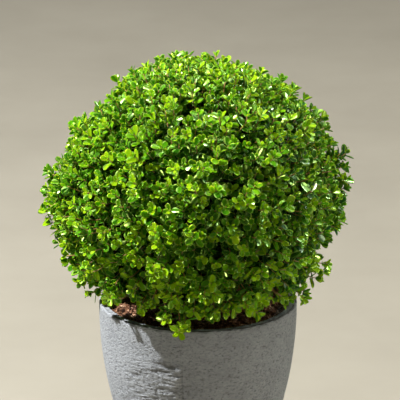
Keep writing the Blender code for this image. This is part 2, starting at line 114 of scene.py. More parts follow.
def wall_relief(point):
    """Depth of the wall's surface at a point, and there the painted shade of its hollows, how scored it is
    and the painted light on its crests.
    """
    azimuth = math.degrees(math.atan2(point.y, point.x))
    uneven = noise.noise(point * 14.0) * SWAY_DEPTH
    level = Vector((point.x * 30.0, point.y * 30.0, point.z * 200.0))
    strength = brushed(azimuth, point.z)
    score = 0.7 - 2.4 * abs(noise.noise(level)) + 0.6 * noise.noise(level * 2.6 + Vector((5.0, 1.0, 2.0)))
    score += 1.1 * noise.noise(Vector((point.x, point.y, point.z * 1.5)) * 270.0)
    uneven += BUILD_UP * max(0.0, strength - 1.0)
    pit = smooth_step(0.36, 0.60, noise.noise(point * 360.0))
    grain = noise.noise(point * 520.0) * GRAIN_DEPTH
    # painted shade: pits, and the grooves between the brush strokes, are darkened
    hollow = min(1.0, 0.6 * pit + max(0.0, 1.6 - strength) * strength * smooth_step(0.1, 0.8, -score))
    # painted light: the crests of the brush strokes are lightened, most at the patch's right end where the
    # sun grazes
    painted_crest_light = 0.07 * strength ** 8 * smooth_step(-0.3, 0.8, score)
    depth = uneven + score * strength * SCORE_DEPTH - pit * PIT_DEPTH + grain
    return depth, hollow, strength, painted_crest_light


def placed(name, mesh, materials):
    """Smooth-shaded object of a mesh."""
    mesh.shade_smooth()
    for material in materials:
        mesh.materials.append(material)
    obj = bpy.data.objects.new(name, mesh)
    bpy.context.scene.collection.objects.link(obj)
    return obj


def mesh_object(name, points, faces, material):
    """Object from points and faces."""
    mesh = bpy.data.meshes.new(name)
    mesh.from_pydata([tuple(point) for point in points], [], faces)
    return placed(name, mesh, [material])


def tube_faces(rings, sides):
    """Faces of a closed tube whose points run ring by ring."""
    faces = [tuple(reversed(range(sides)))]
    for row in range(rings - 1):
        low = row * sides
        for k in range(sides):
            n = (k + 1) % sides
            faces.append((low + k, low + n, low + sides + n, low + sides + k))
    last = (rings - 1) * sides
    faces.append(tuple(range(last, last + sides)))
    return faces


def turned(name, profile, sides, material):
    """Closed solid turned about Z from (radius, height) points, its first and last rings filled."""
    points = []
    for radius, height in profile:
        for k in range(sides):
            angle = 2.0 * math.pi * k / sides
            points.append((radius * math.cos(angle), radius * math.sin(angle), height))
    return mesh_object(name, points, tube_faces(len(profile), sides), material)


def planter_profile():
    """Outer wall from the foot up, lip, inner wall and floor."""
    top = RIM_HEIGHT - LIP_ROUND
    outer_side = RIM_RADIUS - LIP_ROUND
    inner_side = RIM_RADIUS - WALL + LIP_ROUND
    turns = evenly(0.0, math.pi * 0.5, LIP_ROWS)[1:-1]
    profile = [(egg_radius(0.0) - FOOT_CHAMFER, 0.0)]
    profile += [(egg_radius(height), height) for height in evenly(FOOT_CHAMFER, top, WALL_ROWS)]
    for turn in turns:
        profile.append((outer_side + LIP_ROUND * math.cos(turn), top + LIP_ROUND * math.sin(turn)))
    profile += [(radius, RIM_HEIGHT) for radius in evenly(outer_side, inner_side, 4)]
    for turn in reversed(turns):
        profile.append((inner_side - LIP_ROUND * math.cos(turn), top + LIP_ROUND * math.sin(turn)))
    seen = evenly(top, SEEN_DOWN_TO, 8)
    hidden = evenly(SEEN_DOWN_TO, FLOOR + CORNER, 6)[1:]
    profile += [(egg_radius(height) - WALL, height) for height in seen + hidden]
    profile.append((egg_radius(FLOOR) - WALL - CORNER, FLOOR))
    return profile


def combine(base, operation, others):
    """Cuts others from an object, or unites them with it, and removes them."""
    for other in others:
        step = base.modifiers.new("step", "BOOLEAN")
        step.operation = operation
        step.solver = "MANIFOLD"
        step.object = other
    depsgraph = bpy.context.evaluated_depsgraph_get()
    mesh = bpy.data.meshes.new_from_object(base.evaluated_get(depsgraph))
    base.modifiers.clear()
    base.data = mesh
    for other in others:
        bpy.data.objects.remove(other, do_unlink=True)


def cut_drains(planter):
    """Drains through the floor."""
    cutters = []
    for i in range(DRAINS):
        angle = 2.0 * math.pi * (i + 0.2) / DRAINS
        bpy.ops.mesh.primitive_cylinder_add(
            vertices=32, radius=DRAIN_RADIUS, depth=4.0 * FLOOR,
            location=(DRAIN_CIRCLE * math.cos(angle), DRAIN_CIRCLE * math.sin(angle), 0.0),
        )
        cutters.append(bpy.context.object)
    combine(planter, "DIFFERENCE", cutters)


def press_relief(planter):
    """Moves the outside and the lip by their relief, and notes on the points how scored they are and where
    shade and light are painted.
    """
    mesh = planter.data
    hollows, scores, painted_crest_lights, painted_rim_shades = np.zeros((4, len(mesh.vertices)), np.float32)
    lip = RIM_HEIGHT - LIP_ROUND
    for i, vert in enumerate(mesh.vertices):
        point = vert.co.copy()
        flat = math.hypot(point.x, point.y)
        outward = Vector((point.x, point.y, 0.0)) / max(flat, 0.001)
        wander = noise.noise(point * 90.0) + 0.5 * noise.noise(point * 260.0)
        if flat > egg_radius(min(point.z, RIM_HEIGHT)) - LIP_ROUND * 1.2 and point.z > 0.0005:
            depth, hollows[i], scores[i], painted_crest_lights[i] = wall_relief(point)
            vert.co = point + outward * (depth - 0.0002)
        if point.z > lip:
            vert.co.z += -LIP_SAG + wander * LIP_WAVE
        # painted shade: the inner wall down to the compost is darkened, and so is a ragged line along the
        # lip's outer edge, except where the sun falls on the lip
        if point.z > COMPOST_EDGE - 0.01 and flat < RIM_RADIUS - WALL + LIP_ROUND * 0.6:
            painted_rim_shades[i] = 0.6
        else:
            outer_edge = math.hypot(point.z - RIM_HEIGHT, flat - RIM_RADIUS + LIP_ROUND * 0.5)
            painted_rim_shades[i] = 1.0 - smooth_step(SHADE_LINE_WIDTH * 0.6, SHADE_LINE_WIDTH, outer_edge + wander * 0.0012)
            azimuth = math.degrees(math.atan2(point.y, point.x)) % 360
            from_sunlit = abs(azimuth - SUNLIT_LIP_MIDDLE) + wander * 4.0
            painted_rim_shades[i] *= smooth_step(SUNLIT_LIP_HALF - 5, SUNLIT_LIP_HALF + 5, from_sunlit)
    notes = {"hollow": hollows, "scored": scores, "painted_crest_light": painted_crest_lights, "painted_rim_shade": painted_rim_shades}
    for name, values in notes.items():
        mesh.attributes.new(name, "FLOAT", "POINT").data.foreach_set("value", values)


def finish(name, roughness, specular=0.5):
    """New material with its shader's constant values set, and its node tree."""
    material = bpy.data.materials.new(name)
    material.use_nodes = True
    shader = material.node_tree.nodes["Principled BSDF"]
    shader.inputs["Roughness"].default_value = roughness
    shader.inputs["Specular IOR Level"].default_value = specular
    return material, material.node_tree, shader


def fed(tree, node, **values):
    """The node with its inputs fed: each value is another node's socket, a colour or a number."""
    for name, value in values.items():
        socket = node.inputs[name]
        if isinstance(value, bpy.types.NodeSocket):
            tree.links.new(value, socket)
        elif socket.type == "RGBA":
            socket.default_value = (*value, 1.0)
        else:
            socket.default_value = value
    return node


def object_noise(tree, scale, detail=4.0, rough=0.6, stretch=None):
    """Noise fixed to the object; stretch gives each axis its own scale."""
    where = tree.nodes.new("ShaderNodeTexCoord").outputs["Object"]
    if stretch:
        mapping = fed(tree, tree.nodes.new("ShaderNodeMapping"), Vector=where, Scale=stretch)
        where = mapping.outputs["Vector"]
    cloud = tree.nodes.new("ShaderNodeTexNoise")
    return fed(tree, cloud, Vector=where, Scale=scale, Detail=detail, Roughness=rough).outputs["Fac"]


def shades(tree, value, stops):
    """Colour from a value, by stops of (place, red, green, blue)."""
    ramp = fed(tree, tree.nodes.new("ShaderNodeValToRGB"), Fac=value)
    while len(ramp.color_ramp.elements) < len(stops):
        ramp.color_ramp.elements.new(0.5)
    for element, (place, *colour) in zip(ramp.color_ramp.elements, stops):
        element.position = place
        element.color = (*colour, 1.0)
    return ramp.outputs["Color"]


def blended(tree, share, first, second, how="MIX"):
    """Mix of two colours."""
    mix = tree.nodes.new("ShaderNodeMix")
    mix.data_type = "RGBA"
    mix.blend_type = how
    return fed(tree, mix, Factor=share, A=first, B=second).outputs["Result"]


def bumped(tree, shader, height, distance, strength=1.0):
    bump = fed(tree, tree.nodes.new("ShaderNodeBump"), Height=height, Distance=distance, Strength=strength)
    tree.links.new(bump.outputs["Normal"], shader.inputs["Normal"])


def noted(tree, name):
    """Value kept on the mesh's points."""
    reader = tree.nodes.new("ShaderNodeAttribute")
    reader.attribute_name = name
    return reader.outputs["Fac"]


def scaled(tree, value, factor):
    """A value times another, or times a number."""
    times = tree.nodes.new("ShaderNodeMath")
    times.operation = "MULTIPLY"
    tree.links.new(value, times.inputs[0])
    if isinstance(factor, bpy.types.NodeSocket):
        tree.links.new(factor, times.inputs[1])
    else:
        times.inputs[1].default_value = factor
    return times.outputs["Value"]


def added(tree, first, second):
    total = tree.nodes.new("ShaderNodeMath")
    tree.links.new(first, total.inputs[0])
    tree.links.new(second, total.inputs[1])
    return total.outputs["Value"]


def clay_fibre():
    material, tree, shader = finish("clay_fibre", 0.88, 0.12)
    clouds = shades(tree, object_noise(tree, 16.0, 5.0), (
        (0.30, 0.309, 0.329, 0.350),
        (0.50, 0.361, 0.383, 0.406),
        (0.72, 0.412, 0.435, 0.460),
    ))
    pits = object_noise(tree, 1.0, 3.0, 0.65, (240.0, 240.0, 430.0))
    speck = shades(tree, pits, (
        (0.33, 0.50, 0.50, 0.50),
        (0.43, 0.93, 0.93, 0.93),
        (0.58, 1.02, 1.02, 1.02),
        (0.74, 1.20, 1.20, 1.19),
    ))
    speckled = blended(tree, 1.0, clouds, speck, "MULTIPLY")
    # painted shade in the pits and grooves
    hollow_shaded = blended(tree, noted(tree, "hollow"), speckled, (0.150, 0.150, 0.145))
    # painted light on the crests of the brush strokes
    painted_crest_light = blended(tree, noted(tree, "painted_crest_light"), hollow_shaded, (0.750, 0.770, 0.780))
    # painted shade along the lip's edge and on the inner wall
    rim_shaded = blended(tree, noted(tree, "painted_rim_shade"), painted_crest_light, (0.085, 0.087, 0.085))
    tree.links.new(rim_shaded, shader.inputs["Base Color"])
    strokes = object_noise(tree, 1.0, 4.0, 0.70, (150.0, 150.0, 350.0))
    grain = added(tree, object_noise(tree, 480.0, 3.0, 0.7), scaled(tree, pits, 1.5))
    scoring = scaled(tree, strokes, scaled(tree, noted(tree, "scored"), 3.6))
    bumped(tree, shader, added(tree, grain, scoring), 0.0011)
    return material


planter = turned("planter_clay", planter_profile(), PLANTER_SIDES, clay_fibre())
cut_drains(planter)
press_relief(planter)
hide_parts("planter")
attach(planter, "root")

# ----------------------------------------------
# Compost. Damp bark and coir that fills the planter to a little below its lip, heaped at the
# left. Its surface is one lumpy body; flakes of bark and strands of coir lie loose on it.
# ----------------------------------------------
COMPOST_RISE = 0.004
HEAP = (-0.092, -0.040, 0.011, 0.026)      # x, y, height and spread of the heap
LUMP = 0.0022
CRUMBS = 0.0012
FINE_CRUMBS = 0.0008
SUNK = 0.0008                    # the bed lies this far under the top of the loose bark
SEAT_RADIUS = 0.024
GAP = 0.0003                     # left between pieces that lie against each other
COMPOST_SIDES = 180
COMPOST_RINGS = 46
FLAKES = 3400
FLAKE_HALF = (0.0016, 0.0056)    # shortest and longest, from the middle to an end
FLAKE_EDGE = 0.1155              # nothing loose lies farther out
STRANDS = 1500
STRAND_EDGE = 0.112
STRAND_RADIUS = 0.00052
STRAND_TIP_RADIUS = 0.00015
STRAND_STEP = (0.0012, 0.0036)   # from each of its points to the next
STRAND_ARCH = (0.0002, 0.0022)
STRAND_POINTS = 6


def compost_height(x, y):
    """Surface of the compost: domed, lumpy and heaped at one side."""
    radius = math.hypot(x, y) / (RIM_RADIUS - WALL)
    heap_x, heap_y, heap_rise, heap_spread = HEAP
    away = math.hypot(x - heap_x, y - heap_y) / heap_spread
    lumps = math.sin(x * 190.0 + 1.0) * math.sin(y * 170.0 + 0.4) + 0.6 * math.sin(x * 330.0 - y * 260.0)
    dome = COMPOST_RISE * (1.0 - radius * radius)
    return COMPOST_EDGE + dome + heap_rise * math.exp(-away * away) + LUMP * lumps


def crumbled_height(x, y):
    """The same surface with its crumbs, sunk a little under the loose bark."""
    place = Vector((x, y, 0.0))
    crumbs = noise.noise(place * 150.0) * CRUMBS + noise.noise(place * 420.0) * FINE_CRUMBS
    return compost_height(x, y) + crumbs - SUNK


def compost_body(material):
    edge = egg_radius(COMPOST_EDGE) - WALL - GAP
    profile = [(egg_radius(FLOOR) - WALL - CORNER - GAP, FLOOR + GAP)]
    profile += [(egg_radius(z) - WALL - GAP, z) for z in evenly(FLOOR + CORNER, COMPOST_EDGE, 8)]
    profile += [(radius, 1.0) for radius in evenly(edge, 0.002, COMPOST_RINGS)[1:-1]]
    body = turned("compost_bed", profile, COMPOST_SIDES, material)
    for vert in body.data.vertices:
        if vert.co.z > COMPOST_EDGE - GAP:
            vert.co.z = crumbled_height(vert.co.x, vert.co.y)
    return body


def joined_mesh(name, points, faces, materials, tints=None):
    """One object from many like copies: points is (copies, corners, 3), and faces are one copy's."""
    copies, corners, _ = points.shape
    loops = np.array([corner for face in faces for corner in face], np.int64)
    sizes = np.array([len(face) for face in faces], np.int64)
    mesh = bpy.data.meshes.new(name)
    mesh.vertices.add(copies * corners)
    mesh.vertices.foreach_set("co", points.astype(np.float32).ravel())
    mesh.loops.add(copies * len(loops))
    shift = np.arange(copies, dtype=np.int64)[:, None] * corners
    mesh.loops.foreach_set("vertex_index", (loops[None, :] + shift).astype(np.int32).ravel())
    mesh.polygons.add(copies * len(faces))
    starts = np.concatenate(([0], np.cumsum(np.tile(sizes, copies))[:-1]))
    mesh.polygons.foreach_set("loop_start", starts.astype(np.int32))
    if tints is not None:
        mesh.polygons.foreach_set("material_index", tints.astype(np.int32).ravel())
    mesh.update(calc_edges=True)
    return placed(name, mesh, materials)


def tube_points(paths, radii, sides):
    """Points of many tubes: paths is (tubes, rings, 3) and radii is (tubes, rings)."""
    along = np.gradient(paths, axis=1)
    along /= np.linalg.norm(along, axis=2, keepdims=True)
    whole = paths[:, -1] - paths[:, 0]
    other = np.where(np.abs(whole[:, 2:3]) < 0.8 * np.linalg.norm(whole, axis=1, keepdims=True),
                     np.array([[0.0, 0.0, 1.0]]), np.array([[1.0, 0.0, 0.0]]))
    across = np.cross(along, other[:, None, :])
    across /= np.linalg.norm(across, axis=2, keepdims=True)
    upright = np.cross(along, across)
    turns = 2.0 * np.pi * np.arange(sides) / sides
    ring = (across[:, :, None, :] * np.cos(turns)[None, None, :, None]
            + upright[:, :, None, :] * np.sin(turns)[None, None, :, None])
    points = paths[:, :, None, :] + ring * radii[:, :, None, None]
    return points.reshape(len(paths), -1, 3)


def loose_place(rng, heaped, spread, edge, bare):
    """Random place on the compost: on the heap for a share of them, or out to an edge."""
    if rng.random() < heaped:
        return HEAP[0] + rng.gauss(0.0, spread[0]), HEAP[1] + rng.gauss(0.0, spread[1])
    radius = edge * math.sqrt(rng.uniform(bare, 1.0))
    turn = rng.uniform(0.0, 2.0 * math.pi)
    return radius * math.cos(turn), radius * math.sin(turn)


def bark_flakes(material):
    """Splinters and flakes of bark, thickest on the heap."""
    rng = random.Random(5)
    square = [(-1, -1), (1, -1), (1, 1), (-1, 1)]
    block = [(*corner, side) for side in (-1, 1) for corner in square]
    faces = [(0, 3, 2, 1), (4, 5, 6, 7), (0, 1, 5, 4), (1, 2, 6, 5), (2, 3, 7, 6), (3, 0, 4, 7)]
    flakes = []
    while len(flakes) < FLAKES:
        x, y = loose_place(rng, 0.15, (0.012, 0.014), FLAKE_EDGE, 0.02)
        if not SEAT_RADIUS < math.hypot(x, y) < FLAKE_EDGE:
            continue
        length = rng.uniform(*FLAKE_HALF)
        half = Vector((length, length * rng.uniform(0.25, 0.6), length * rng.uniform(0.10, 0.28)))
        heading = rng.uniform(0.0, 2.0 * math.pi)
        tilt = rng.gauss(0.0, 0.35)
        level = math.cos(tilt)
        along = Vector((math.cos(heading) * level, math.sin(heading) * level, math.sin(tilt)))
        across = Vector((0.0, 0.0, 1.0)).cross(along).normalized()
        across = (across + Vector((0.0, 0.0, rng.gauss(0.0, 0.3)))).normalized()
        upright = along.cross(across).normalized()
        middle = Vector((x, y, crumbled_height(x, y) + half.z * rng.uniform(0.3, 2.2)))
        corners = []
        for a, b, c in block:
            a *= rng.uniform(0.55, 1.15)
            b *= rng.uniform(0.45, 1.15)
            c *= rng.uniform(0.55, 1.1)
            corners.append(middle + along * (a * half.x) + across * (b * half.y) + upright * (c * half.z))
        flakes.append(corners)
    obj = joined_mesh("bark_flakes", np.array(flakes), faces, [material])
    obj.data.shade_flat()
    return obj


def coir_strands(material):
    """Short curled strands of coir."""
    rng = random.Random(6)
    paths = []
    while len(paths) < STRANDS:
        x, y = loose_place(rng, 0.50, (0.011, 0.013), STRAND_EDGE + 0.001, 0.06)
        if math.hypot(x, y) > STRAND_EDGE:
            continue
        heading = rng.uniform(0.0, 2.0 * math.pi)
        curl = rng.uniform(-1.6, 1.6)
        step = rng.uniform(*STRAND_STEP)
        arch = rng.uniform(*STRAND_ARCH)
        path = []
        for i in range(STRAND_POINTS):
            if math.hypot(x, y) > FLAKE_EDGE - 0.001:
                heading += math.pi * 0.8
            height = crumbled_height(x, y) + SUNK + arch * math.sin(math.pi * i / (STRAND_POINTS - 1))
            path.append((x, y, height))
            x += step * math.cos(heading)
            y += step * math.sin(heading)
            heading += curl * 0.4
        paths.append(path)
    paths = np.array(paths)
    radii = np.full(paths.shape[:2], STRAND_RADIUS)
    radii[:, -1] = STRAND_TIP_RADIUS
    points = tube_points(paths, radii, 4)
    return joined_mesh("coir_strands", points, tube_faces(STRAND_POINTS, 4), [material])


def mottled(name, roughness, specular, cloud, stops):
    """Finish whose colour follows a noise with the settings in cloud."""
    material, tree, shader = finish(name, roughness, specular)
    tree.links.new(shades(tree, object_noise(tree, *cloud), stops), shader.inputs["Base Color"])
    return material, tree, shader


def bark_compost():
    material, tree, shader = mottled("bark_compost", 0.92, 0.2, (170.0, 3.0, 0.7), (
        (0.32, 0.022, 0.011, 0.006),
        (0.45, 0.125, 0.055, 0.026),
        (0.58, 0.300, 0.145, 0.072),
        (0.74, 0.520, 0.310, 0.190),
    ))
    bumped(tree, shader, object_noise(tree, 700.0, 3.0, 0.6), 0.0006, 0.8)
    return material


bark_mix = bark_compost()
coir, _, _ = mottled("coir", 0.8, 0.25, (60.0, 2.0), (
    (0.35, 0.420, 0.230, 0.120),
    (0.65, 0.800, 0.540, 0.350),
))
bed = compost_body(bark_mix)
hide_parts("compost")
for piece in (bed, bark_flakes(bark_mix), coir_strands(coir)):
    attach(piece, "root")

# ----------------------------------------------
# Stem and boughs. A short woody stem with a flared foot forks into eleven boughs, which leave
# it at branch collars and curve out to the masses. Each is a tapering limb with furrowed bark.
# ----------------------------------------------
SEED = 41
CROWN = Vector((-0.003, 0.0, 0.3755))
RING = 5
UPPER_ELEVATION = 27
LOWER_ELEVATION = -21
UPPER_TURN = -46
LOWER_TURN = -90
STEM_FOOT = Vector((0.003, 0.002, 0.0))
SEAT_HEIGHT = COMPOST_EDGE + COMPOST_RISE
STEM_TOP = 0.350
LEADER_FOOT = 0.312
STEM_RADIUS = 0.0105
STEM_TIP_RADIUS = 0.0062
FLARE = 0.0045
BOUGH_RADIUS = 0.0050
BOUGH_TIP_RADIUS = 0.0034
BOUGH_BEND = 0.36
COLLAR_LENGTH = 0.010
COLLAR_RADII = (0.0075, 0.0054)
STEM_BOW = 0.003
LOWER_FORK = 0.279
UPPER_FORK = 0.322
FORK_JITTER = 0.006
BOUGH_SLOPE = 48
BOUGH_REACH = 0.081
LIMB_SIDES = 20
STEM_STEPS = 44
BOUGH_STEPS = 28
COLLAR_STEPS = 8


def from_angles(azimuth, elevation):
    """Unit vector from angles in degrees."""
    flat = math.cos(math.radians(elevation))
    turn = math.radians(azimuth)
    return Vector((flat * math.cos(turn), flat * math.sin(turn), math.sin(math.radians(elevation))))


def mass_directions():
    """The middle of each mass's space, as a direction from the crown's centre."""
    directions = {"top": Vector((0.0, 0.0, 1.0))}
    for i in range(RING):
        turn = 360.0 * i / RING
        directions[f"upper_{i + 1}"] = from_angles(UPPER_TURN + turn, UPPER_ELEVATION)
        directions[f"lower_{i + 1}"] = from_angles(LOWER_TURN + turn, LOWER_ELEVATION)
    return directions


def stem_point(height):
    """Middle of the stem, which leans from its foot to the crown's centre."""
    along = (height - SEAT_HEIGHT) / (STEM_TOP - SEAT_HEIGHT)
    bow = STEM_BOW * math.sin(math.pi * along)
    return Vector((
        STEM_FOOT.x + (CROWN.x - STEM_FOOT.x) * along + bow,
        STEM_FOOT.y + (CROWN.y - STEM_FOOT.y) * along - bow,
        height,
    ))


def stem_radius(height):
    along = (height - SEAT_HEIGHT) / (STEM_TOP - SEAT_HEIGHT)
    flare = FLARE * math.exp(-along * 9.0)
    return STEM_RADIUS + (STEM_TIP_RADIUS - STEM_RADIUS) * along + flare


def bough_start(name, direction, rng):
    """Where a bough leaves the stem: a point on the stem's middle line, and a heading."""
    if name == "top":
        return stem_point(STEM_TOP), (stem_point(STEM_TOP) - stem_point(LEADER_FOOT)).normalized()
    height = UPPER_FORK if name.startswith("upper") else LOWER_FORK
    height += rng.uniform(-FORK_JITTER, FORK_JITTER)
    heading = from_angles(math.degrees(math.atan2(direction.y, direction.x)), BOUGH_SLOPE)
    return stem_point(height), heading


def bezier(handles, t):
    """Point on a cubic curve."""
    a, b, c, d = handles
    s = 1.0 - t
    return a * s ** 3 + b * 3.0 * s * s * t + c * 3.0 * s * t * t + d * t ** 3


def furrowed_limb(name, path, radii, material, furrow=0.08):
    """Closed tapering limb with bark furrows that run along it."""
    rings = len(path)
    points = tube_points(np.array([path]), np.array([radii]), LIMB_SIDES)[0].reshape(rings, LIMB_SIDES, 3)
    for row in range(rings):
        for k in range(LIMB_SIDES):
            turn = 2.0 * math.pi * k / LIMB_SIDES
            place = Vector((math.cos(turn) * 2.6, math.sin(turn) * 2.6, row * 0.16))
            ridges = noise.noise(place) + 0.5 * noise.noise(place * 2.3 + Vector((7.0, 3.0, 0.0)))
            middle = np.array(path[row])
            points[row, k] = middle + (points[row, k] - middle) * (1.0 + furrow * ridges)
    return mesh_object(name, points.reshape(-1, 3), tube_faces(rings, LIMB_SIDES), material)


def box_bark():
    material, tree, shader = mottled("box_bark", 0.85, 0.25, (110.0, 5.0, 0.7, (1.0, 1.0, 0.25)), (
        (0.30, 0.070, 0.048, 0.030),
        (0.50, 0.210, 0.150, 0.095),
        (0.70, 0.360, 0.290, 0.200),
    ))
    bumped(tree, shader, object_noise(tree, 420.0, 3.0, 0.7, (1.0, 1.0, 0.3)), 0.0008, 0.9)
    return material


def build_limbs(directions, bark):
    """The stem with its branch collars, and a bough on each collar. Returns the boughs' ends."""
    rng = random.Random(SEED)
    foot = SEAT_HEIGHT + GAP
    heights = evenly(foot, STEM_TOP, STEM_STEPS)
    path = [stem_point(height) for height in heights]
    stem = furrowed_limb("stem_bark", path, [stem_radius(height) for height in heights], bark)
    collars = []
    ends = {}
    pieces = [(stem, "stem")]
    for name, direction in directions.items():
        start, heading = bough_start(name, direction, rng)
        clear = 0.0
        if name != "top":
            clear = stem_radius(start.z) + COLLAR_LENGTH
            path = [start + heading * along for along in evenly(0.0, clear, COLLAR_STEPS)]
            collars.append(furrowed_limb("collar", path, evenly(*COLLAR_RADII, COLLAR_STEPS), bark))
        base = start + heading * (clear + GAP)
        tip = CROWN + direction * BOUGH_REACH
        reach_out = (tip - base).length * BOUGH_BEND
        handles = [base, base + heading * reach_out, tip - direction * reach_out, tip]
        thick = STEM_TIP_RADIUS * 0.94 if name == "top" else BOUGH_RADIUS
        path = [bezier(handles, t) for t in evenly(0.0, 1.0, BOUGH_STEPS)]
        radii = evenly(thick, BOUGH_TIP_RADIUS, BOUGH_STEPS)
        pieces.append((furrowed_limb(f"bark_bough_{name}", path, radii, bark), f"bough_{name}"))
        ends[name] = tip
    combine(stem, "UNION", collars)
    stem.data.shade_smooth()
    for piece, node in pieces:
        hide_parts(node)
        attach(piece, "root")
    return ends


directions = mass_directions()
bough_ends = build_limbs(directions, box_bark())

# ----------------------------------------------
# Foliage. Box carries small round leaves in crossed pairs on thin four-angled shoots. In each
# mass one twig goes on from the bough, forks towards the clipped surface and ends in shoots.
# Leaves, and the twigs that carry them, are joined apart. Tints are dealt out shoot by shoot.
# ----------------------------------------------
UNDERSIDE = 0.254
# azimuth, elevation, rise and spread of each place where the ball departs from round
SWELLS = (
    (-179, -4, 0.011, 9), (-171, -26, 0.006, 15), (-132, -20, -0.012, 13),
    (-133, -32, 0.026, 7), (-151, -38, -0.014, 7), (-165, -42, -0.018, 9),
    (168, 35, -0.024, 6), (177, 8, 0.003, 5), (173, 19, -0.041, 7),
    (-171, 21, -0.010, 7), (171, 27, 0.003, 3), (161, 45, -0.045, 7),
    (-179, 49, -0.024, 8), (145, 38, -0.020, 8), (157, 52, 0.008, 4),
    (146, 60, -0.008, 8), (109, 72, -0.007, 6), (90, 73, -0.003, 16),
    (79, 66, -0.006, 5), (43, 66, -0.026, 6), (9, 72, -0.010, 8),
    (34, 61, 0.008, 4), (27, 55, -0.019, 6), (20, 47, 0.010, 5),
    (12, 33, 0.018, 7), (4, 14, 0.020, 7), (1, 2, 0.008, 7),
    (-3, -10, 0.004, 5), (-8, -22, -0.026, 6), (-21, -18, -0.016, 7),
    (7, -27, -0.012, 8), (-9, -27, 0.008, 4), (-13, -37, -0.024, 7),
)
# azimuth, elevation, depth and spread of each dark hollow in the surface
HOLLOWS = (
    (-94, 59, 0.045, 5.5), (-75, 24, 0.040, 5.0), (-128, 8, 0.032, 4.5),
    (-80, -5, 0.036, 4.5), (-60, 44, 0.024, 4.0), (60, 20, 0.030, 5.0),
    (120, 35, 0.030, 5.0),
)
# ends of the shoots that stand out of the clipped surface, by mass
STRAY_SHOOTS = {
    "upper_4": (
        (-0.110, 0.049, 0.524), (-0.202, -0.009, 0.413),
    ),
    "lower_5": (
        (-0.203, -0.012, 0.385), (-0.147, -0.013, 0.240), (-0.119, -0.092, 0.270),
        (-0.103, -0.125, 0.277), (-0.110, -0.127, 0.290), (-0.112, -0.119, 0.267),
        (-0.118, -0.108, 0.262), (-0.120, -0.115, 0.269),
    ),
    "upper_2": (
        (0.199, 0.008, 0.433), (0.1965, 0.002, 0.416),
    ),
    "lower_2": (
        (0.192, -0.022, 0.371), (0.185, -0.032, 0.342), (0.174, -0.052, 0.296),
        (0.169, -0.058, 0.287), (0.161, -0.056, 0.277), (0.128, -0.093, 0.278),
    ),
}
STRAY_SHARE = 0.965              # a stray shoot ends short of the tips of its leaves
# mass, root and end of each shoot that hangs over the lip at the front
HANGING_SHOOTS = (
    ("lower_1", (-0.044, -0.118, 0.278), (-0.042, -0.142, 0.254)),
    ("lower_1", (-0.027, -0.120, 0.276), (-0.025, -0.156, 0.242)),
    ("lower_1", (-0.018, -0.119, 0.274), (-0.0185, -0.148, 0.247)),
)
CLUMP = 0.007                    # how far clumps of shoots rise and fall,
CLUMP_SCALES = (4.5, 9.0)        # and how closely the clumps follow each other
TUFT = 0.010                     # single shoots low on the front and back stand out by this
KEY_DIRECTION = from_angles(182, 46)
CAMERA_ELEVATION = 17.6
VIEW_DIRECTION = from_angles(-90, CAMERA_ELEVATION)
# chinks through the leaves: where each opens, which way, and its radius
CHINKS = [(Vector(foot), way, radius) for foot, way, radius in (
    ((-0.091, -0.041, 0.237), KEY_DIRECTION, 0.018),
    ((-0.091, -0.041, 0.237), VIEW_DIRECTION, 0.016),
    ((-0.034, -0.151, 0.252), KEY_DIRECTION, 0.017),
    ((-0.126, -0.050, 0.232), VIEW_DIRECTION, 0.014),
    ((-0.112, -0.050, 0.229), VIEW_DIRECTION, 0.011),
    ((-0.090, -0.068, 0.189), KEY_DIRECTION, 0.012),
    ((-0.090, -0.082, 0.208), KEY_DIRECTION, 0.012),
    ((-0.066, -0.093, 0.193), KEY_DIRECTION, 0.012),
    ((-0.066, -0.101, 0.194), KEY_DIRECTION, 0.012),
    ((-0.066, -0.109, 0.191), KEY_DIRECTION, 0.012),
    ((-0.066, -0.117, 0.192), KEY_DIRECTION, 0.012),
    ((-0.066, -0.108, 0.223), KEY_DIRECTION, 0.006),
    ((-0.066, -0.125, 0.196), KEY_DIRECTION, 0.012),
    ((0.098, 0.045, 0.233), VIEW_DIRECTION, 0.008),
)]
FORK_SPACE = 0.092               # the limbs have this ball about the centre to themselves
ROOT_DEPTH = 0.012               # a mass's twigs spread from this far outside that ball
SHOOT_RADIUS = 0.1835            # to the ends of the shoots, before the swells
SHOOTS = 150                     # in each mass
SHOOT_MARGIN = -0.001            # shoots may end this far outside their mass's space
SHOOT_UNEVEN = (-0.019, 0.006)
SHOOT_INSET = 0.002              # the lowest shoots end this far above the crown's underside
LOWEST_SHOOT = -47               # degrees below the middle
WIDEST = 62                      # degrees from a mass's middle to its edge, at most
FORK_STEP = 0.34                 # share of the way to its shoots that a twig goes before it forks
SHOOT_LENGTH = 0.046             # the shortest, from its fork to its end
SHOOT_POINTS = 6
TWIG_RADIUS = 0.0026
TWIG_TAPER = 0.84
SHOOT_THICK = 0.00105
SHOOT_THIN = 0.00060
LEAF_THICK = 0.00032
OLD_LEAF = 0.021                 # length of the leaves inside the crown
GOLDEN_ANGLE = math.pi * (3.0 - math.sqrt(5.0))


def room(point, name, directions):
    """Distance from a point to the nearest wall of a mass's space; negative outside it."""
    offset = point - CROWN
    own = directions[name]
    walls = [(own - other).normalized() for key, other in directions.items() if key != name]
    return min(offset.dot(wall) for wall in walls)


def off(direction, azimuth, elevation):
    """Degrees from a direction to the one with these angles."""
    return math.degrees(direction.angle(from_angles(azimuth, elevation)))


def swell(direction):
    """How far the clipped surface stands out beyond a round ball, in a direction."""
    return sum(rise * math.exp(-(off(direction, az, el) / spread) ** 2) for az, el, rise, spread in SWELLS)


def sunk(direction):
    """Depth of the hollows in a direction."""
    return max(deep * math.exp(-(off(direction, az, el) / spread) ** 4) for az, el, deep, spread in HOLLOWS)


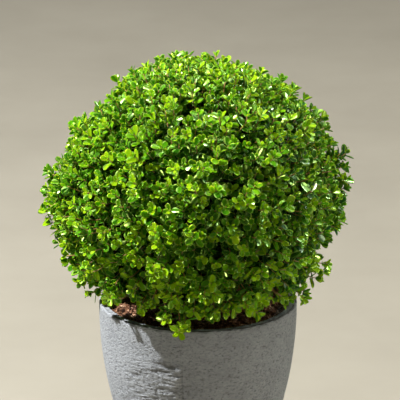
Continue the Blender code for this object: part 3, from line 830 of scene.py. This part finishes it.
def reach(direction, radius, underside):
    """Distance from the crown's centre to its surface, flat below."""
    distance = radius + swell(direction)
    if direction.z < 0.0:
        distance = min(distance, (CROWN.z - underside) / -direction.z)
    return distance


def side_axes(axis):
    """Two unit vectors square to an axis and to each other."""
    other = Vector((0.0, 0.0, 1.0)) if abs(axis.z) < 0.9 else Vector((1.0, 0.0, 0.0))
    across = axis.cross(other).normalized()
    return across, axis.cross(across).normalized()


def around(axis, turn, tilt):
    """Direction tilted from an axis by an angle in degrees, on the bearing of a turn."""
    across, upright = side_axes(axis)
    side = across * math.cos(turn) + upright * math.sin(turn)
    return axis * math.cos(math.radians(tilt)) + side * math.sin(math.radians(tilt))


def widest(axis, turn, fits):
    """Largest tilt from an axis, in degrees, up to which a direction fits."""
    tilt = 0.0
    while tilt < WIDEST and fits(around(axis, turn, tilt + 1.0)):
        tilt += 1.0
    return tilt


def shoot_ends(name, directions, rng):
    """Ends of a mass's shoots, spread evenly over its outer face."""
    own = directions[name]

    def end(direction):
        return CROWN + direction * reach(direction, SHOOT_RADIUS, UNDERSIDE + SHOOT_INSET)

    def fits(direction):
        high = math.degrees(math.asin(direction.z)) > LOWEST_SHOOT
        return high and room(end(direction), name, directions) > SHOOT_MARGIN

    ends = []
    for i in range(SHOOTS):
        turn = i * GOLDEN_ANGLE + rng.uniform(-0.1, 0.1)
        share = math.sqrt((i + 0.5) / SHOOTS)
        direction = around(own, turn, widest(own, turn, fits) * share)
        uneven = rng.uniform(*SHOOT_UNEVEN) - sunk(direction)
        uneven += sum(CLUMP * noise.noise(direction * scale) for scale in CLUMP_SCALES)
        in_belt = -0.55 < direction.z < 0.15 and abs(direction.x) < 0.8
        if in_belt and noise.noise(direction * 41.0) > 0.28:
            uneven += TUFT
        ends.append(end(direction) + direction * uneven)
    strays = STRAY_SHOOTS.get(name, ())
    return ends + [CROWN + (Vector(tip) - CROWN) * STRAY_SHARE for tip in strays]


def in_chink(point):
    """Whether a point lies in one of the chinks."""
    for foot, way, radius in CHINKS:
        along = (point - foot).dot(way)
        if along > radius and (point - foot - way * along).length < radius:
            return True
    return False


def halves(targets):
    """Split shoot ends in two across the direction in which they spread the most."""
    middle = sum(targets, Vector()) / len(targets)
    far = max(targets, key=lambda t: (t - middle).length)
    axis = (far - middle).normalized()
    ordered = sorted(targets, key=lambda t: (t - middle).dot(axis))
    cut = len(ordered) // 2
    return ordered[:cut], ordered[cut:]


def grow(base, targets, radius, rng, twigs, shoots):
    """Fork from a base towards the shoot ends, part of the way at a time."""
    if len(targets) == 1:
        shoots.append((base, targets[0]))
        return
    for half in halves(targets):
        middle = sum(half, Vector()) / len(half)
        fork = base.lerp(middle, FORK_STEP)
        fork += Vector([rng.uniform(-0.002, 0.002) for _ in range(3)])
        farthest = min((end - CROWN).length for end in half) - SHOOT_LENGTH
        fork = CROWN + (fork - CROWN) * min(1.0, farthest / (fork - CROWN).length)
        twigs.append((base, fork, radius, radius * TWIG_TAPER))
        grow(fork, half, radius * TWIG_TAPER, rng, twigs, shoots)


# Leaf: stations along its length, each with the half width there; five points across.
LEAF_STATIONS = ((0.13, 0.48), (0.38, 0.92), (0.67, 1.00), (0.90, 0.68))
LEAF_ACROSS = (-1.0, -0.76, 0.0, 0.76, 1.0)


def leaf_pattern():
    """A leaf's points as (along, across, side), its upper and lower faces, and which are its rim, tinted
    paler as a pale margin and a painted highlight.
    """
    points = [(0.0, 0.0, 0.0)]
    for along, wide in LEAF_STATIONS:
        points += [(along, across * wide, 0.0) for across in LEAF_ACROSS]
    tip = len(points)
    points.append((1.0, 0.0, 0.0))
    under = len(points)
    points += [(along, 0.0, -1.0) for along, _ in LEAF_STATIONS]
    upper = []
    rims = []
    lower = []
    for k in range(4):
        upper.append((0, 1 + k + 1, 1 + k))
        upper.append((tip, tip - 5 + k, tip - 5 + k + 1))
        rims += [k in (0, 3), True]
    for row in range(len(LEAF_STATIONS) - 1):
        first = 1 + 5 * row
        for k in range(4):
            upper.append((first + k, first + k + 1, first + k + 6, first + k + 5))
            rims.append(k in (0, 3))
        lower.append((first, first + 5, under + row + 1, under + row))
        lower.append((first + 4, under + row, under + row + 1, first + 9))
    lower.append((0, 1, under))
    lower.append((0, under, 5))
    lower.append((tip, tip - 1, under + 3))
    lower.append((tip, under + 3, tip - 5))
    return np.array(points), upper, lower, np.array(rims)


LEAF_POINTS, LEAF_UPPER, LEAF_LOWER, LEAF_RIMS = leaf_pattern()

# An inner leaf, hardly seen: a rim of six points about a raised middle and a lowered one.
INNER_RIM = ((0.0, 0.0), (0.35, 0.9), (0.75, 0.9), (1.0, 0.0), (0.75, -0.9), (0.35, -0.9))
INNER_POINTS = np.array([(*spot, 0.0) for spot in INNER_RIM] + [(0.5, 0.0, 1.0), (0.5, 0.0, -1.0)])
INNER_FACES = [(6, (k + 1) % 6, k) for k in range(6)] + [(7, k, (k + 1) % 6) for k in range(6)]


def leaf_points(leaves, pattern):
    """Corners of many leaves, from their roots, axes, lengths, widths, cups and curls."""
    root, along, across, normal = [np.array([leaf[i] for leaf in leaves])[:, None, :] for i in range(4)]
    length, width, cup, curl = [np.array([leaf[i] for leaf in leaves])[:, None] for i in range(4, 8)]
    x = pattern[None, :, 0]
    y = pattern[None, :, 1]
    under = pattern[None, :, 2]
    lift = cup * width * (np.abs(y) ** 1.6) + curl * length * (x ** 2 - 0.3 * x)
    lift = lift + under * LEAF_THICK
    return (root + along * (x * length)[:, :, None] + across * (y * width * 0.5)[:, :, None]
            + normal * lift[:, :, None])


# Tints of the leaves, from the newest growth to the oldest, and of their undersides.
TINTS = (
    ("leaf_lime", (0.295, 0.525, 0.004)),
    ("leaf_fresh", (0.146, 0.382, 0.003)),
    ("leaf_bright", (0.066, 0.248, 0.002)),
    ("leaf_green", (0.029, 0.146, 0.001)),
    ("leaf_deep", (0.013, 0.085, 0.001)),
    ("leaf_blue_green", (0.013, 0.085, 0.012)),
    ("leaf_old", (0.006, 0.036, 0.001)),
    ("leaf_underside", (0.090, 0.260, 0.012)),
)
PALE_RIM_AND_HIGHLIGHT_TINTS = np.array((0, 0, 1, 1, 2, 3, 4))      # the lighter tint of the rim of a leaf of each tint: a pale margin and a painted highlight
DEEPEST = 4                      # the last tint that a leaf may stray to by chance
OLD_TINT = 6
UNDER_TINT = 7
# least new growth and painted light that a shoot needs, and the tints of its pairs of leaves from its end
# down
SPRAYS = (
    (0.70, (0, 0, 0, 1, 2, 3)),
    (0.35, (0, 0, 1, 2, 3, 4)),
    (0.0, (0, 1, 2, 3, 4, 4)),
    (-0.35, (1, 2, 3, 4, 4, 6)),
    (-math.inf, (2, 3, 4, 4, 6, 6)),
)
NEWEST_SPRAY = SPRAYS[0][1]
BLUE_SPRAY = (1, 5, 5, 5, 4, 6)
WAXY_SHINE = (0.60, 1.00, 0.24, 1.0)
BLUE_SHINE = (0.75, 1.00, 0.62, 1.0)


def leaf_finishes():
    """Waxy finishes, one for each tint, that let a little light through."""
    materials = []
    for name, colour in TINTS:
        material, _, shader = finish(name, 0.25 if name != "leaf_underside" else 0.50, 0.75)
        shader.inputs["Base Color"].default_value = (*colour, 1.0)
        shine = BLUE_SHINE if name == "leaf_blue_green" else WAXY_SHINE
        shader.inputs["Specular Tint"].default_value = shine
        shader.inputs["Subsurface Weight"].default_value = 0.38
        shader.inputs["Subsurface Radius"].default_value = (0.6, 1.0, 0.2)
        shader.inputs["Subsurface Scale"].default_value = 0.0008
        materials.append(material)
    return materials


def spray_tints(tip, rng):
    """Tints of a shoot's pairs of leaves, from its end down: shoots that stand out are the newest, and
    tints by place paint light and shade.
    """
    offset = tip - CROWN
    way = offset.normalized()
    proud = offset.length - reach(way, SHOOT_RADIUS, UNDERSIDE + SHOOT_INSET)
    # painted light: shoots at the top, and still more the low ones, are given lighter tints
    new_growth_and_painted_light = (0.38 if way.z > 0.0 else -1.3) * way.z
    new_growth_and_painted_light += rng.gauss(0.0, 0.42 if way.z > 0.0 else 0.70)
    # partly painted shade: standing out lightens shoots less on the shaded right side
    new_growth_and_painted_light += 26.0 * proud * (1.0 - 0.7 * max(0.0, way.x))
    if way.x > 0.5 and rng.random() < 0.30:
        return BLUE_SPRAY
    return next(tints for least, tints in SPRAYS if new_growth_and_painted_light > least)


def add_pair(leaves, tints, point, axis, side, spread, length, tint, rng):
    """Two leaves opposite each other on a shoot."""
    for way in (side, -side):
        angle = math.radians(spread + rng.uniform(-14.0, 14.0))
        along = (axis * math.cos(angle) + way * math.sin(angle)).normalized()
        along = (along + Vector([rng.gauss(0.0, 0.10) for _ in range(3)])).normalized()
        across = axis.cross(way).normalized()
        across = (across - along * across.dot(along)).normalized()
        roll = rng.gauss(0.0, 0.25)
        normal = along.cross(across)
        if normal.dot(axis) < 0.0:
            across = -across
            normal = -normal
        across = (across * math.cos(roll) + normal * math.sin(roll)).normalized()
        normal = along.cross(across).normalized()
        if in_chink(point + along * length * 0.5):
            continue
        size = length * rng.uniform(0.86, 1.14)
        width = size * rng.uniform(0.60, 0.80)
        leaves.append((
            point + way * 0.0004, along, across, normal,
            size, width, rng.uniform(0.05, 0.20), rng.uniform(-0.18, 0.12),
        ))
        if tint <= DEEPEST:
            tints.append(min(max(tint + rng.choice((-1, 0, 0, 0, 1)), 0), DEEPEST))
        else:
            tints.append(tint)


# Pairs of leaves on a shoot, from its end down: how far apart, leaf length, angle to the shoot.
PAIRS = (
    (0.0000, 0.0076, 28),
    (0.0022, 0.0116, 46),
    (0.0056, 0.0130, 54),
    (0.0070, 0.0132, 62),
    (0.0078, 0.0136, 68),
    (0.0084, 0.0138, 72),
)


def leafy_shoot(base, tip, rng, paths, leaves, tints, hangs=False):
    """A thin shoot with crossed pairs of leaves, closest together at its end."""
    outward = Vector((-0.25, -0.90, 0.35)) if hangs else (tip - CROWN).normalized()
    upward = Vector((0.0, 0.0, 0.0 if hangs else 0.42))
    stray = Vector([rng.gauss(0.0, 0.10 if hangs else 0.24) for _ in range(3)])
    heading = (outward + upward + stray).normalized()
    handle = (tip - base).length * 0.45
    handles = [base, base.lerp(tip, 0.35), tip - heading * handle, tip]
    paths.append([bezier(handles, t) for t in evenly(0.0, 1.0, SHOOT_POINTS - 1)])
    first = len(leaves)
    across, upright = side_axes(heading)
    turn = rng.uniform(0.0, math.pi)
    down = 0.0
    length = (tip - base).length
    spray = NEWEST_SPRAY if hangs else spray_tints(tip, rng)
    vigour = 1.12 if hangs else rng.uniform(0.84, 1.18) * (1.0 + 0.10 * abs(outward.x))
    opened = 1.4 if hangs else 1.0
    for pair, (step, size, spread) in enumerate(PAIRS):
        down += step * vigour
        share = 1.0 - down / length
        if share < 0.1:
            break
        point = bezier(handles, share)
        axis = (bezier(handles, share + 0.04) - bezier(handles, share - 0.04)).normalized()
        bearing = turn + pair * math.pi * 0.5 + rng.gauss(0.0, 0.12)
        side = across * math.cos(bearing) + upright * math.sin(bearing)
        side = (side - axis * side.dot(axis)).normalized()
        add_pair(leaves, tints, point, axis, side, spread * opened, size * vigour, spray[pair], rng)
    if in_chink(tip):
        del paths[-1], leaves[first:], tints[first:]


def old_leaves(base, fork, rng, leaves, tints):
    """A pair of large dark leaves on an inner twig, square to the way out."""
    outward = (fork - CROWN).normalized()
    across, upright = side_axes(outward)
    bearing = rng.uniform(0.0, math.pi)
    side = across * math.cos(bearing) + upright * math.sin(bearing)
    point = base.lerp(fork, rng.uniform(0.4, 1.0))
    add_pair(leaves, tints, point, outward, side, 78, OLD_LEAF, OLD_TINT, rng)


def dress_mass(name, bough_end, bark, leaf_materials):
    """The twigs and leaves of one mass."""
    rng = random.Random(f"{SEED} {name} fine")
    own = directions[name]
    root = bough_end + own * (FORK_SPACE - BOUGH_REACH + ROOT_DEPTH)
    twigs = [(bough_end + own * GAP, root, BOUGH_TIP_RADIUS * 0.95, TWIG_RADIUS)]
    shoots = []
    grow(root, shoot_ends(name, directions, rng), TWIG_RADIUS, rng, twigs, shoots)
    paths = []
    leaves = []
    tints = []
    for base, tip in shoots:
        leafy_shoot(base, tip, rng, paths, leaves, tints)
    for mass, foot, tip in HANGING_SHOOTS:
        if mass == name:
            near = min(twigs, key=lambda twig: (twig[1] - Vector(foot)).length)
            twigs.append((near[1], Vector(foot), SHOOT_THICK * 1.2, SHOOT_THICK))
            leafy_shoot(Vector(foot), Vector(tip), rng, paths, leaves, tints, hangs=True)
    inner = []
    for base, fork, _, _ in twigs[1:]:
        old_leaves(base, fork, rng, inner, [])
    wood, green = bark
    radii = np.linspace(SHOOT_THICK, SHOOT_THIN, SHOOT_POINTS)[None, :].repeat(len(paths), axis=0)
    points = tube_points(np.array(paths), radii, 4)
    shoot_mesh = joined_mesh(f"shoots_{name}", points, tube_faces(SHOOT_POINTS, 4), [green])
    paths = np.array([[base.lerp(fork, i / 2) for i in range(3)] for base, fork, _, _ in twigs])
    radii = np.array([[thick, (thick + thin) * 0.5, thin] for _, _, thick, thin in twigs])
    twig_mesh = joined_mesh(f"twigs_{name}", tube_points(paths, radii, 6), tube_faces(3, 6), [wood])
    tints = np.array(tints)
    upper = np.where(LEAF_RIMS[None, :], PALE_RIM_AND_HIGHLIGHT_TINTS[tints][:, None], tints[:, None])
    lower = np.full((len(tints), len(LEAF_LOWER)), UNDER_TINT)
    leaf_mesh = joined_mesh(
        f"leaves_{name}", leaf_points(leaves, LEAF_POINTS), LEAF_UPPER + LEAF_LOWER, leaf_materials,
        np.concatenate((upper, lower), axis=1),
    )
    inner_mesh = joined_mesh(
        f"inner_leaves_{name}", leaf_points(inner, INNER_POINTS), INNER_FACES, [leaf_materials[OLD_TINT]],
    )
    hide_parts(f"foliage_{name}")
    for slot, pieces in (("box_leaf", (leaf_mesh, inner_mesh)), ("bark", (shoot_mesh, twig_mesh))):
        for piece in pieces:
            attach(piece, "root")


def twig_finishes():
    """Woody twigs, and the greener skin of the shoots."""
    wood, _, shader = finish("twig_wood", 0.8, 0.3)
    shader.inputs["Base Color"].default_value = (0.150, 0.085, 0.040, 1.0)
    green, _, shader = finish("shoot_skin", 0.6, 0.4)
    shader.inputs["Base Color"].default_value = (0.450, 0.260, 0.065, 1.0)
    return wood, green


leaf_materials = leaf_finishes()
twig_materials = twig_finishes()
for mass, end in bough_ends.items():
    dress_mass(mass, end, twig_materials, leaf_materials)

# ----------------------------------------------
# Stage. A pale floor, a white sun high on the left, three lights that only shine off the leaves,
# two wide soft lights from the right and above, a dim sky, and the camera.
# ----------------------------------------------
AIM = Vector((0.0026, 0.0, 0.370))
CAMERA_DISTANCE = 6.0
VIEW_WIDTH = 0.5212              # what the camera takes in at that distance
SENSOR = 36.0                    # millimetres
LIGHT_DISTANCE = 3.2
SOFT_DISTANCE = 3.6
SOFT_WHITE = (1.0, 0.965, 0.83)
# name, direction, size, energy and colour of each light seen only as it shines off the leaves
SHEENS = (
    ("glints", KEY_DIRECTION, 0.09, 94.0, (1.3, 1.0, 1.5)),
    ("sky_sheen", from_angles(25, 42), 0.5, 120.0, (0.86, 0.95, 1.0)),
    ("low_sheen", from_angles(-66, 2), 0.25, 130.0, (1.2, 1.0, 0.9)),
)


def pale_floor():
    """Mottled ground that doesn't show in shiny surfaces."""
    bpy.ops.mesh.primitive_plane_add(size=24.0, location=(0.0, 0.0, -0.0005))
    floor = bpy.context.object
    floor.name = "floor"
    paint, _, _ = mottled("floor_paint", 0.9, 0.2, (3.0,), (
        (0.3, 0.29, 0.270, 0.222),
        (0.7, 0.33, 0.308, 0.255),
    ))
    floor.data.materials.append(paint)
    floor.visible_glossy = False


def aimed(obj, place, target):
    obj.location = place
    obj.rotation_euler = (target - place).to_track_quat("-Z", "Y").to_euler()
    bpy.context.scene.collection.objects.link(obj)


def lamp(name, way, distance, size, energy, colour):
    """Round light aimed at the crown."""
    light = bpy.data.lights.new(name, "AREA")
    light.shape = "DISK"
    light.size = size
    light.energy = energy
    light.color = colour
    obj = bpy.data.objects.new(name, light)
    aimed(obj, CROWN + way * distance, CROWN)
    return obj


def dim_sky():
    world = bpy.data.worlds.new("sky")
    world.use_nodes = True
    background = world.node_tree.nodes["Background"]
    background.inputs["Color"].default_value = (1.0, 0.97, 0.82, 1.0)
    background.inputs["Strength"].default_value = 0.048
    bpy.context.scene.world = world


def portrait_camera():
    lens = bpy.data.cameras.new("camera")
    lens.sensor_width = SENSOR
    lens.lens = SENSOR * CAMERA_DISTANCE / VIEW_WIDTH
    camera = bpy.data.objects.new("camera", lens)
    aimed(camera, AIM + VIEW_DIRECTION * CAMERA_DISTANCE, AIM)
    bpy.context.scene.camera = camera


pale_floor()
lamp("key", KEY_DIRECTION, LIGHT_DISTANCE, 0.08, 233.0, (1.0, 1.0, 1.0))
for name, way, size, energy, colour in SHEENS:
    lamp(name, way, LIGHT_DISTANCE, size, energy, colour).visible_diffuse = False
lamp("side", from_angles(-2, 22), SOFT_DISTANCE, 1.4, 41.0, SOFT_WHITE)
lamp("overhead", from_angles(10, 66), SOFT_DISTANCE, 1.2, 81.0, SOFT_WHITE)
dim_sky()
portrait_camera()
bpy.context.scene.view_settings.view_transform = "Standard"
